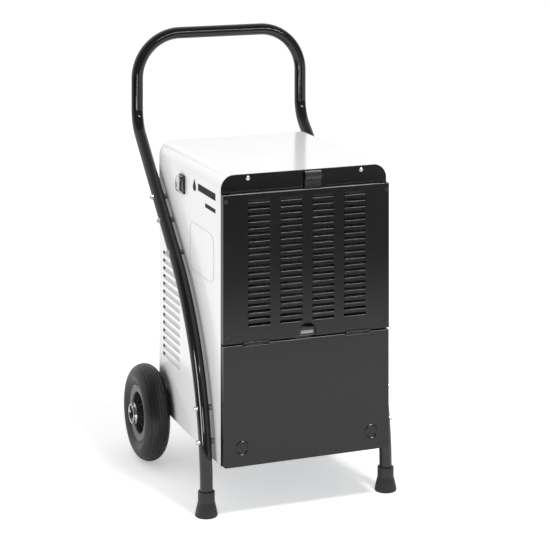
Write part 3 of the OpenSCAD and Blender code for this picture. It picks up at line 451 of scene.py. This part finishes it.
def swept(path, radius, sides):
    """A round bar along a path of points."""
    path = [Vector(p) for p in path]
    last = len(path) - 1
    rings = []
    across = None
    for i, p in enumerate(path):
        ahead = (path[min(i + 1, last)] - path[max(i - 1, 0)]).normalized()
        if across is None:
            across = ahead.orthogonal()
        across = (across - ahead * across.dot(ahead)).normalized()
        side = ahead.cross(across)
        rings.append([p + radius * (across * math.cos(TAU * j / sides) + side * math.sin(TAU * j / sides))
                      for j in range(sides)])
    return lofted(rings)


def arc(centre, radius, start, stop, steps):
    """Points (a, b) along an arc, angles in degrees."""
    turns = [math.radians(start + (stop - start) * i / steps) for i in range(steps + 1)]
    return [(centre[0] + radius * math.cos(t), centre[1] + radius * math.sin(t)) for t in turns]


def bezier(a, b, c, d, steps):
    """Points along a cubic curve with end points a, d and handles b, c."""
    points = []
    for i in range(steps + 1):
        t = i / steps
        points.append(a * (1 - t) ** 3 + b * 3 * t * (1 - t) ** 2 + c * 3 * t * t * (1 - t) + d * t ** 3)
    return points


def rounded_loop(half_w, half_h, r, steps=8):
    """A rounded rectangle about the origin as (a, b) points, starting at the middle of its right side."""
    points = [(half_w, 0.0)]
    for cx, cy, start in ((1, 1, 0), (-1, 1, 90), (-1, -1, 180), (1, -1, 270)):
        points += arc((cx * (half_w - r), cy * (half_h - r)), r, start, start + 90, steps)
    return points


def scaled(points):
    """An outline given in millimetres, in metres."""
    return [(a * MM, b * MM) for a, b in points]


def mirrored(half):
    """A closed outline of (along, radius) points from the half of it on the outer side."""
    return half + [(-along, radius) for along, radius in reversed(half)]


def spoke(turn):
    """Directions out from the X axis and sideways, at a turn round it."""
    return Vector((0, math.cos(turn), math.sin(turn))), Vector((0, -math.sin(turn), math.cos(turn)))


# ---------------------------------------------------------------- trolley frame

def side_path(leg_y, handle_y, top_z):
    """The bent side tube as (y, z) points, from inside the foot up to the handle's bend.

    It sweeps back in a wide bend, runs straight at its lean and cranks upright again."""
    leg_z = 9 * MM
    sweep_z, sweep_r = 42.6 * MM, 533 * MM
    crank_r = 70.7 * MM
    lean = 50
    cos, sin = math.cos(math.radians(lean)), math.sin(math.radians(lean))
    straight = (handle_y - leg_y - (sweep_r + crank_r) * (1 - cos)) / sin
    end = (leg_y + sweep_r * (1 - cos) + straight * sin, sweep_z + sweep_r * sin + straight * cos)
    sweep = arc((leg_y + sweep_r, sweep_z), sweep_r, 180, 180 - lean, 50)
    crank = arc((end[0] - crank_r * cos, end[1] + crank_r * sin), crank_r, -lean, 0, 24)
    return [(leg_y, leg_z)] + sweep + crank + [(handle_y, top_z)]


def make_tube():
    """The whole frame as one bar, bent like the CAD tube and just inside it."""
    low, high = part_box("frame_tube")
    tube_r = 12.6 * MM
    shown_r = tube_r - 0.05 * MM
    handle_r = 95 * MM
    x = high.x - tube_r
    y = high.y - tube_r
    z = high.z - tube_r
    side = side_path(low.y + tube_r, y, z - handle_r)
    corner = arc((x - handle_r, z - handle_r), handle_r, 0, 90, 32)[1:]
    right = [Vector((x, a, b)) for a, b in side] + [Vector((a, y, b)) for a, b in corner]
    left = [Vector((-p.x, p.y, p.z)) for p in reversed(right)]
    piece("bent_tube", [swept(right + left, shown_r, 48)], "black_gloss", "frame_tube")


# ---------------------------------------------------------------- wheels

# The radius where the tyre's round section gives way to its dished wall, and the rim's lip:
# its radius and its distance from the wheel's middle plane.
WALL_R = 77.5 * MM
RIM_R = 57 * MM
RIM_X = 20.5 * MM


def groove_outline(radius, centre_r, pitch, width, depth, count):
    """A tyre's round tread from side to side as (along, radius), with square-cut grooves."""
    def point(along, sunk=0.0):
        return along, centre_r + math.sqrt(max(0.0, radius ** 2 - along ** 2)) - sunk

    steps = 60
    draft = 0.1 * MM
    plain = [radius * math.sin(math.radians(-90 + 180 * i / steps)) for i in range(steps + 1)]
    grooves = [(i - (count - 1) / 2) * pitch for i in range(count)]
    outline = [point(a) for a in plain if all(abs(a - g) > width for g in grooves)]
    for g in grooves:
        a, b = g - width / 2, g + width / 2
        outline += [point(a), point(a + draft, depth), point(b - draft, depth), point(b)]
    return sorted(outline)


def make_tyre(side, centre, radius, half):
    """A tyre with a grooved round tread and dished walls that curve in to the rim."""
    crown_r = radius - half
    start = Vector((math.sqrt(half ** 2 - (WALL_R - crown_r) ** 2), WALL_R, 0))
    down = Vector(((WALL_R - crown_r) / half, -start.x / half, 0))
    bead = Vector((RIM_X - 1.8 * MM, RIM_R + 0.3 * MM, 0))
    curve = bezier(start, start + down * 5 * MM, bead + Vector((4.2, 5, 0)) * MM, bead, 16)
    wall = [(v.x, v.y) for v in curve[1:]]
    tread = groove_outline(half, crown_r, pitch=6.6 * MM, width=1.4 * MM, depth=1.0 * MM, count=6)
    tread = [(along, r) for along, r in tread if r > WALL_R - 0.01 * MM]
    inner_x, inner_r = RIM_X - 3 * MM, 52 * MM
    outline = tread + mirrored(wall + [(inner_x, inner_r)])
    piece(side + "_tyre_rubber", [turned(outline, centre, X_AXIS, 160)], "tyre_rubber", side + "_tyre",
          edge=0.2 * MM)


def make_rim_ring(side, centre):
    """The painted outer ring of a rim, with a rolled lip and a bead round its inner edge."""
    lip = RIM_X / MM
    half_ring = [(lip - 2.9, 51.4), (lip - 2.8, 56.6), (lip - 0.8, 57), (lip, 55.8), (lip - 0.3, 53.6),
                 (lip - 2.4, 49.5), (lip - 2.6, 46), (lip - 1.6, 43.4), (lip - 2.2, 42.2), (lip - 4.5, 42)]
    ring = mirrored(scaled(half_ring))
    piece(side + "_rim_ring", [turned(ring, centre, X_AXIS)], "rim_paint", side + "_rim", edge=0.5 * MM)


def make_rim_disc(side, centre):
    """The dark dished disc inside a rim's ring, with its hub and six webs; its edge lines the ring's inner
    wall in black, painted shade for the deep recess.
    """
    hub_r, bore_r, hub_half, disc = 18 * MM, 10.5 * MM, 25 * MM, 3 * MM
    # The disc is black plastic; the lining it runs up over the ring's inner wall is painted shade.
    shade_lining = [(15.6 * MM, 42.3 * MM), (15.8 * MM, 41.4 * MM)]
    dish = [(5 * MM, 40 * MM), (disc, 38 * MM), (disc, 23 * MM), (disc + 2 * MM, 20 * MM)]
    hub = [(hub_half - 1 * MM, hub_r), (hub_half, hub_r - 1 * MM), (hub_half, bore_r)]
    solids = [turned(mirrored(shade_lining + dish + hub), centre, X_AXIS, 96)]
    webs = 6
    for i in range(webs):
        solids.append(web(centre, TAU * i / webs, r0=17 * MM, r1=42.4 * MM, thick=2 * MM, half=12 * MM))
    piece(side + "_rim_disc", solids, "black_plastic", side + "_rim", edge=0.5 * MM)


def make_wheel(side):
    """A tyre and the two parts of its rim, round the CAD wheel's centre."""
    low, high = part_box(side + "_tyre")
    centre = (low + high) / 2
    make_tyre(side, centre, radius=(high.z - low.z) / 2, half=(high.x - low.x) / 2)
    make_rim_ring(side, centre)
    make_rim_disc(side, centre)


def web(centre, turn, r0, r1, thick, half):
    """A stiffening web of a wheel disc: a plate whose depth tapers from the hub out to the rim."""
    out, side = spoke(turn)
    rings = []
    for r, reach in ((r0, half + 6 * MM), (r1, half - 2 * MM)):
        rings.append([centre + out * r + side * s * thick / 2 + X_AXIS * t * reach
                      for s, t in ((-1, -1), (1, -1), (1, 1), (-1, 1))])
    return lofted(rings)


def make_hub_caps():
    """Push-on caps: a bright lobed flange and rolled rim round a dark cross with four bright studs."""
    cap_depth = 8.5 * MM
    arms = 4
    stud_ring = 13
    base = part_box("hub_caps")[1].x - cap_depth
    low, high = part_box("right_tyre")
    axle = (low + high) / 2
    # In millimetres: turned outlines are (along, radius) from the base, and ribs are for tapered().
    rim = [(0, 17), (0, 20.5), (1.6, 21), (2.4, 20.2), (6.2, 19.6)] + arc((7.0, 18.4), 1.5, 60, -90, 8)
    rim += [(4.6, 16.9), (3.0, 16.9)]
    dish = [(0.4, 8.2), (0.4, 17), (3.4, 17), (3.2, 10.5), (6.0, 9.9), (6.8, 9.2), (6.8, 8.2)]
    stud = [(2.8, 0), (2.8, 2.7), (5.4, 2.7), (6.4, 2.1), (6.8, 0)]
    arm = [(9.4, 3.6, 6.6), (13, 2.8, 5.8), (16.9, 4.2, 6.2)]
    lobe = [(19.5, 7.5, 2.6), (21.4, 6.5, 2.6), (22.0, 3.5, 2.6)]
    bright, dark = [], []
    for s in (-1, 1):
        centre = Vector((s * base, axle.y, axle.z))
        along = X_AXIS * s
        bright.append(turned(scaled(rim), centre, along, 96))
        dark.append(turned(scaled(dish), centre, along, 64))
        for i in range(arms):
            out, side = spoke(TAU * (i + 0.5) / arms)
            dark.append(tapered(centre, out, side, along, arm, 2.6))
            bright.append(tapered(centre, out, side, along, lobe, 0.2))
            stud_out = spoke(TAU * i / arms)[0]
            bright.append(turned(scaled(stud), centre + stud_out * stud_ring * MM, along, 24))
    piece("bright_hub_caps", bright, "chrome", "hub_caps", edge=0.3 * MM)
    piece("hub_cap_crosses", dark, "black_plastic", "hub_caps", edge=0.3 * MM)


def tapered(centre, out, side, along, sections, foot):
    """A rib through (radius, width, height) sections in millimetres, standing on a foot height."""
    rings = []
    for r, w, h in sections:
        rings.append([centre + (out * r + side * a * w / 2 + along * b) * MM
                      for a, b in ((-1, foot), (1, foot), (1, h), (-1, h))])
    return lofted(rings)


# ---------------------------------------------------------------- small and soft parts

def make_flap_rings():
    """The two pressed rings in the flap's lower corners, raised in a half round over its magnets."""
    low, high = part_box("flap_magnets")
    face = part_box("tank_flap")[0].y
    radius = (high.z - low.z) / 2
    middle = (low + high) / 2
    ring_r, bead = 12.6, 1.7
    section = [(-0.6, ring_r - bead)] + [(h, r) for r, h in arc((ring_r, -0.2), bead, 180, 0, 12)]
    section += [(-0.6, ring_r + bead)]
    solids = []
    for s in (-1, 1):
        centre = Vector((s * (high.x - radius), face, middle.z))
        solids.append(turned(scaled(section), centre, Vector((0, -1, 0)), 96))
    piece("flap_rings", solids, "black_paint", body="flap")


def make_decal():
    """A plain printed mark on the left side: a water drop and two bars, without any lettering.

    Its outlines are (y, z) in millimetres, from the casing's front and from the floor."""
    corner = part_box("casing")[0]
    film, sunk = 0.12 * MM, 0.02 * MM
    drop_y, drop_z, drop_w, drop_h = 158, 612, 15, 13
    bars = ((30, 136, 604, 618), (30, 92, 580, 588))

    def printed(outline):
        return lofted([[Vector((corner.x - x, corner.y + y * MM, z * MM)) for y, z in outline]
                       for x in (-sunk, film)])

    steps = 48
    drop = [(drop_y + drop_w * math.sin(t) * math.sin(t / 2) ** 2, drop_z + drop_h * math.cos(t))
            for t in (TAU * i / steps for i in range(steps))]
    outlines = [drop] + [[(y0, z0), (y1, z0), (y1, z1), (y0, z1)] for y0, y1, z0, z1 in bars]
    piece("side_decal", [printed(outline) for outline in outlines], "filter_net", body="cabinet")


def make_switch_cover():
    """The clear blister over the switch: a thin bulging shell with soft corners."""
    low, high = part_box("switch_cover")
    centre = (low + high) / 2
    wall = 0.8 * MM
    corner_r = 4 * MM
    rows, crown = 12, 88

    def shell(inset):
        rings = []
        for i in range(rows + 1):
            t = math.radians(crown * i / rows)
            shrink = math.cos(t) ** 0.42
            rise = (high.x - low.x - inset) * math.sin(t) ** 0.8
            half_w = (high.y - low.y) / 2 * shrink - inset
            half_h = (high.z - low.z) / 2 * shrink - inset
            loop = rounded_loop(half_w, half_h, corner_r * shrink)
            rings.append([Vector((high.x - rise, centre.y + a, centre.z + b)) for a, b in loop])
        return rings

    outer, inner = shell(0.0), shell(wall)
    piece("splash_cover", [lofted(outer + inner[::-1], closed=True)], "clear_cover", "switch_cover")


def make_filter_net():
    """Crossing wires of the filter net, in the place of the CAD sheet and out to its edges."""
    low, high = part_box("filter_mesh")
    wire = 0.3 * MM
    pitch = 3.2 * MM
    lift = wire * 0.8
    y = (low.y + high.y) / 2
    solids = []
    for i in range(1, int((high.x - low.x) / pitch)):
        x = low.x + i * pitch
        solids.append(swept([(x, y - lift, low.z), (x, y - lift, high.z)], wire, 6))
    for i in range(1, int((high.z - low.z) / pitch)):
        z = low.z + i * pitch
        solids.append(swept([(low.x, y + lift, z), (high.x, y + lift, z)], wire, 6))
    piece("filter_net", solids, "filter_net", "filter_mesh")


# Largest radius of the plug's body. Its cord leaves through the middle of it.
PLUG_R = 14 * MM


def make_cord():
    """The mains cord: out of the gland, three turns round the hooks, then down into the plug."""
    low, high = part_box("power_cord")
    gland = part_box("cord_gland")
    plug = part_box("power_plug")
    r = 4 * MM
    hook_r = 26 * MM
    turns = 3
    step = 2 * r + 0.2 * MM
    crossing = 6  # last points of each turn, where the cord crosses to the next one
    half_w = (high.x - low.x) / 2 - r
    half_h = (high.z - low.z) / 2 - r
    middle = (low + high) / 2
    loop = rounded_loop(half_w, half_h, hook_r)
    y0 = low.y + r
    path = []
    for turn in range(turns):
        for i, (a, b) in enumerate(loop):
            crossed = max(0.0, (i - len(loop) + crossing) / crossing)
            y = y0 + step * min(turns - 1, turn + crossed)
            path.append(Vector((middle.x - a, y, middle.z - b)))
    start = Vector(((gland[0].x + gland[1].x) / 2, gland[1].y - 3 * MM, (gland[0].z + gland[1].z) / 2))
    first = path[0]
    lead = bezier(start, start + Vector((0, 30, -4)) * MM, first - Vector((8, 0, 60)) * MM,
                  first - Vector((0, 0, 4)) * MM, 24)
    piece("mains_cord", [swept(lead[:-1] + path, r, 16)], "cord_jacket", "power_cord")
    tail_start = Vector((middle.x + half_w, y0 + step * (turns - 1), middle.z + 10 * MM))
    top = Vector(((plug[0].x + PLUG_R), (plug[0].y + plug[1].y) / 2, plug[1].z - 2 * MM))
    tail = bezier(tail_start, tail_start + Vector((2, 2, 38)) * MM, top + Vector((4, 0, 52)) * MM, top, 24)
    piece("cord_tail", [swept(tail, r, 16)], "cord_jacket", "power_cord")


def make_plug():
    """A moulded plug hanging pins down: waisted body with grip rings and a ribbed cord sleeve."""
    low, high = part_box("power_plug")
    body_h = 34
    pin_offset = 9 * MM
    x = low.x + PLUG_R
    y = (low.y + high.y) / 2
    centre = Vector((x, y, high.z - body_h * MM))
    body = [(0, 0), (0, 13.4), (1, PLUG_R / MM), (9, 13.8), (14, 11.6), (15, 12.2), (16.4, 12.2),
            (17.4, 10.8), (18.8, 11.4), (20.2, 11.4), (21.2, 9.8), (24, 8.2)]
    sleeve, rib_pitch, ribs = 25, 2.2, 4
    for i in range(ribs):
        a = sleeve + rib_pitch * i
        rib_r = 6.6 - 0.3 * i
        body += [(a, rib_r), (a + 1.2, rib_r), (a + 1.4, 5.2), (a + 2.0, 5.2)]
    body += [(body_h, 4.6), (body_h, 0)]
    piece("moulded_plug", [turned(scaled(body), centre, Z_AXIS, 48)], "cord_jacket", "power_plug",
          edge=0.3 * MM)
    pin = [(0, 0), (0, 1.2), (0.8, 2.2), (16.5, 2.2), (16.5, 0)]
    pins = [turned(scaled(pin), Vector((x + s * pin_offset, y, low.z)), Z_AXIS, 24) for s in (-1, 1)]
    piece("plug_pins", pins, "zinc", "power_plug")


def make_pieces():
    """All pieces that stand in for CAD nodes or add to them."""
    make_tube()
    for side in ("left", "right"):
        make_wheel(side)
    make_hub_caps()
    make_flap_rings()
    make_decal()
    make_switch_cover()
    make_filter_net()
    make_cord()
    make_plug()


make_pieces()


# ---------------------------------------------------------------- stage

# Light from all round. Matt surfaces see the fill, which falls to its right-hand share over on the right.
# Gloss sees a dim room with a brighter back wall instead. The floor glows a little, but not in gloss.
FILL = 0.85
RIGHT_SHARE = 0.6
ROOM = 0.12
BACK_WALL = 0.9
FLOOR_GLOW = 0.35


def make_floor():
    """A pale floor. Its mirror image in gloss is dark far ahead and to the left, and pale elsewhere."""
    floor_size = 24
    tone_patch = 0.4
    unlit = (0.02, 0.02, 0.02)
    ahead_fade, right_fade = (-1.95, -1.45), (1.6, 2.2)
    left_fade, back_fade = (-1.5, -1.0), (0.9, 1.2)
    bpy.ops.mesh.primitive_plane_add(size=floor_size)
    floor = bpy.context.object
    floor.name = "floor"
    f = Finish("floor_paint", (0.95, 0.95, 0.95), 0.8, specular=0.1)
    f.mottle(f.noise(tone_patch, 2), (0.945, 0.945, 0.945))
    place = f.add("ShaderNodeSeparateXYZ")
    f.link(f.place, place.inputs["Vector"])
    x, y = place.outputs["X"], place.outputs["Y"]

    def both(a, b, operation="MULTIPLY"):
        node = f.add("ShaderNodeMath", operation=operation)
        f.link(a, node.inputs[0])
        f.link(b, node.inputs[1])
        return node.outputs[0]

    ahead = both(f.spread(y, 1, 0, *ahead_fade), f.spread(x, 1, 0, *right_fade))
    beside = both(f.spread(x, 1, 0, *left_fade), f.spread(y, 1, 0, *back_fade))
    dark = both(ahead, beside, "MAXIMUM")
    mirrored_ray = f.add("ShaderNodeLightPath").outputs["Is Glossy Ray"]
    f.set("Emission Color", (1.0, 1.0, 1.0, 1.0))
    f.link(f.spread(mirrored_ray, FLOOR_GLOW, 0.0, 0, 1), f.shader.inputs["Emission Strength"])
    f.mottle(both(dark, mirrored_ray), unlit, 0, 1)
    floor.data.materials.append(f.material)


def make_world():
    """White to the camera, a fill for matt surfaces that fades to the right, and a dim room for gloss."""
    # Each ramp: its axis, where along it the ramp starts and ends, its strengths there and its mix input.
    fill_ramp = ("X", -0.4, 0.6, FILL, RIGHT_SHARE * FILL, "A")
    room_ramp = ("Y", -0.2, 0.4, ROOM, BACK_WALL, "B")
    world = bpy.data.worlds.new("studio")
    world.use_nodes = True
    tree = world.node_tree
    background = tree.nodes["Background"]
    background.inputs["Color"].default_value = (1, 1, 1, 1)
    path = tree.nodes.new("ShaderNodeLightPath")
    strength = tree.nodes.new("ShaderNodeMix")
    direction = tree.nodes.new("ShaderNodeSeparateXYZ")
    tree.links.new(tree.nodes.new("ShaderNodeTexCoord").outputs["Generated"], direction.inputs["Vector"])
    for axis, *values, target in (fill_ramp, room_ramp):
        ramp = tree.nodes.new("ShaderNodeMapRange")
        for key, value in zip(("From Min", "From Max", "To Min", "To Max"), values):
            ramp.inputs[key].default_value = value
        tree.links.new(direction.outputs[axis], ramp.inputs["Value"])
        tree.links.new(ramp.outputs["Result"], strength.inputs[target])
    tree.links.new(path.outputs["Is Glossy Ray"], strength.inputs["Factor"])
    camera = tree.nodes.new("ShaderNodeMix")
    camera.inputs["B"].default_value = 1.0
    tree.links.new(path.outputs["Is Camera Ray"], camera.inputs["Factor"])
    tree.links.new(strength.outputs["Result"], camera.inputs["A"])
    tree.links.new(camera.outputs["Result"], background.inputs["Strength"])
    bpy.context.scene.world = world


def softbox(name, place, target, width, height, power, receivers=()):
    """An area light that gloss doesn't mirror, for all or only some of the pieces."""
    light = bpy.data.lights.new(name, "AREA")
    light.shape = "RECTANGLE"
    light.size = width
    light.size_y = height
    light.energy = power
    obj = bpy.data.objects.new(name, light)
    bpy.context.scene.collection.objects.link(obj)
    obj.location = place
    obj.rotation_mode = "QUATERNION"
    obj.rotation_quaternion = (Vector(target) - Vector(place)).to_track_quat("-Z", "Y")
    obj.visible_camera = False
    obj.visible_glossy = False
    if receivers:
        group = bpy.data.collections.new(name)
        for receiver in receivers:
            group.objects.link(bpy.data.objects[receiver])
        obj.light_linking.receiver_collection = group
    return obj


def glint(name, place, target, width, height, power, receivers):
    """A light that only some pieces' gloss sees, for the fine light lines along their edges."""
    obj = softbox(name, place, target, width, height, power, receivers)
    obj.visible_glossy = True
    obj.visible_diffuse = False


def make_lights():
    """A key from above, a low light on the left wall, and the glints of the tube and the sheet edges.

    Each light has its place, what it faces, its width, height and power, and the pieces that receive it."""
    tube = ["bent_tube"]
    edges = ["intake_cover", "tank_flap", "flap_rings", "front_frame", "lip_screws", "tube_bolts"]
    above = (0.75, -0.65, 2.5)
    front = (0, -0.25, 0.5)
    softbox("key", (0.6, -2.0, 3.8), (0, 0, 0.2), 0.6, 0.6, 95)
    softbox("side_light", (-1.5, 2.9, 0.8), (-0.17, 0, 0.35), 0.15, 0.15, 25, ["casing"])
    glint("left_glint", (-0.65, -0.48, 0.35), (-0.19, -0.18, 0.35), 0.12, 0.5, 2.2, tube)
    glint("upright_glint", (-0.87, -1.69, 0.45), (-0.19, 0.19, 0.7), 0.25, 0.35, 2.5, tube)
    glint("right_glint", (0.06, -0.69, 0.42), (0.19, -0.21, 0.42), 0.04, 0.5, 0.4, tube)
    glint("bar_glint", (0.9, -2.15, 1.66), (0, 0.25, 0.87), 2.0, 0.08, 14, tube)
    glint("edge_glint", above, front, 1.0, 1.0, 90, edges)
    glint("tab_glint", above, front, 1.0, 1.0, 22, ["filter_frame"])
    glint("front_glint", (0.86, -2.4, 1.6), (0, -0.25, 0.4), 0.8, 1.2, 90, edges)
    glint("end_glint", (-1.3, -0.75, 0.15), front, 0.5, 0.5, 8, edges)


def make_camera():
    """Stands ahead and to the left of the object and looks level, its lens shifted down.

    The shift belongs to this viewpoint only. Its driver reads rotation_mode, which is 1 for this camera's
    own XYZ turn and 0 once a quaternion turns it elsewhere."""
    to_left, ahead, height = 1.3424, 3.3617, 1.3702
    turn = math.radians(20.857)
    sensor, lens, shift = 36, 122.2, -0.8595
    data = bpy.data.cameras.new("camera")
    camera = bpy.data.objects.new("camera", data)
    bpy.context.scene.collection.objects.link(camera)
    camera.location = (-to_left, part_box("front_frame")[1].y - ahead, height)
    camera.rotation_mode = "XYZ"
    camera.rotation_euler = (math.pi / 2, 0, -turn)
    data.sensor_width = sensor
    data.lens = lens
    data.clip_end = 50
    driver = data.driver_add("shift_y").driver
    mode = driver.variables.new()
    mode.name = "mode"
    mode.targets[0].id = camera
    mode.targets[0].data_path = "rotation_mode"
    driver.expression = f"{shift} * min(mode, 1)"
    bpy.context.scene.camera = camera


def make_stage():
    """The floor, the light and the camera, with colours shown as they are."""
    bpy.context.scene.view_settings.view_transform = "Standard"
    make_floor()
    make_world()
    make_lights()
    make_camera()


make_stage()
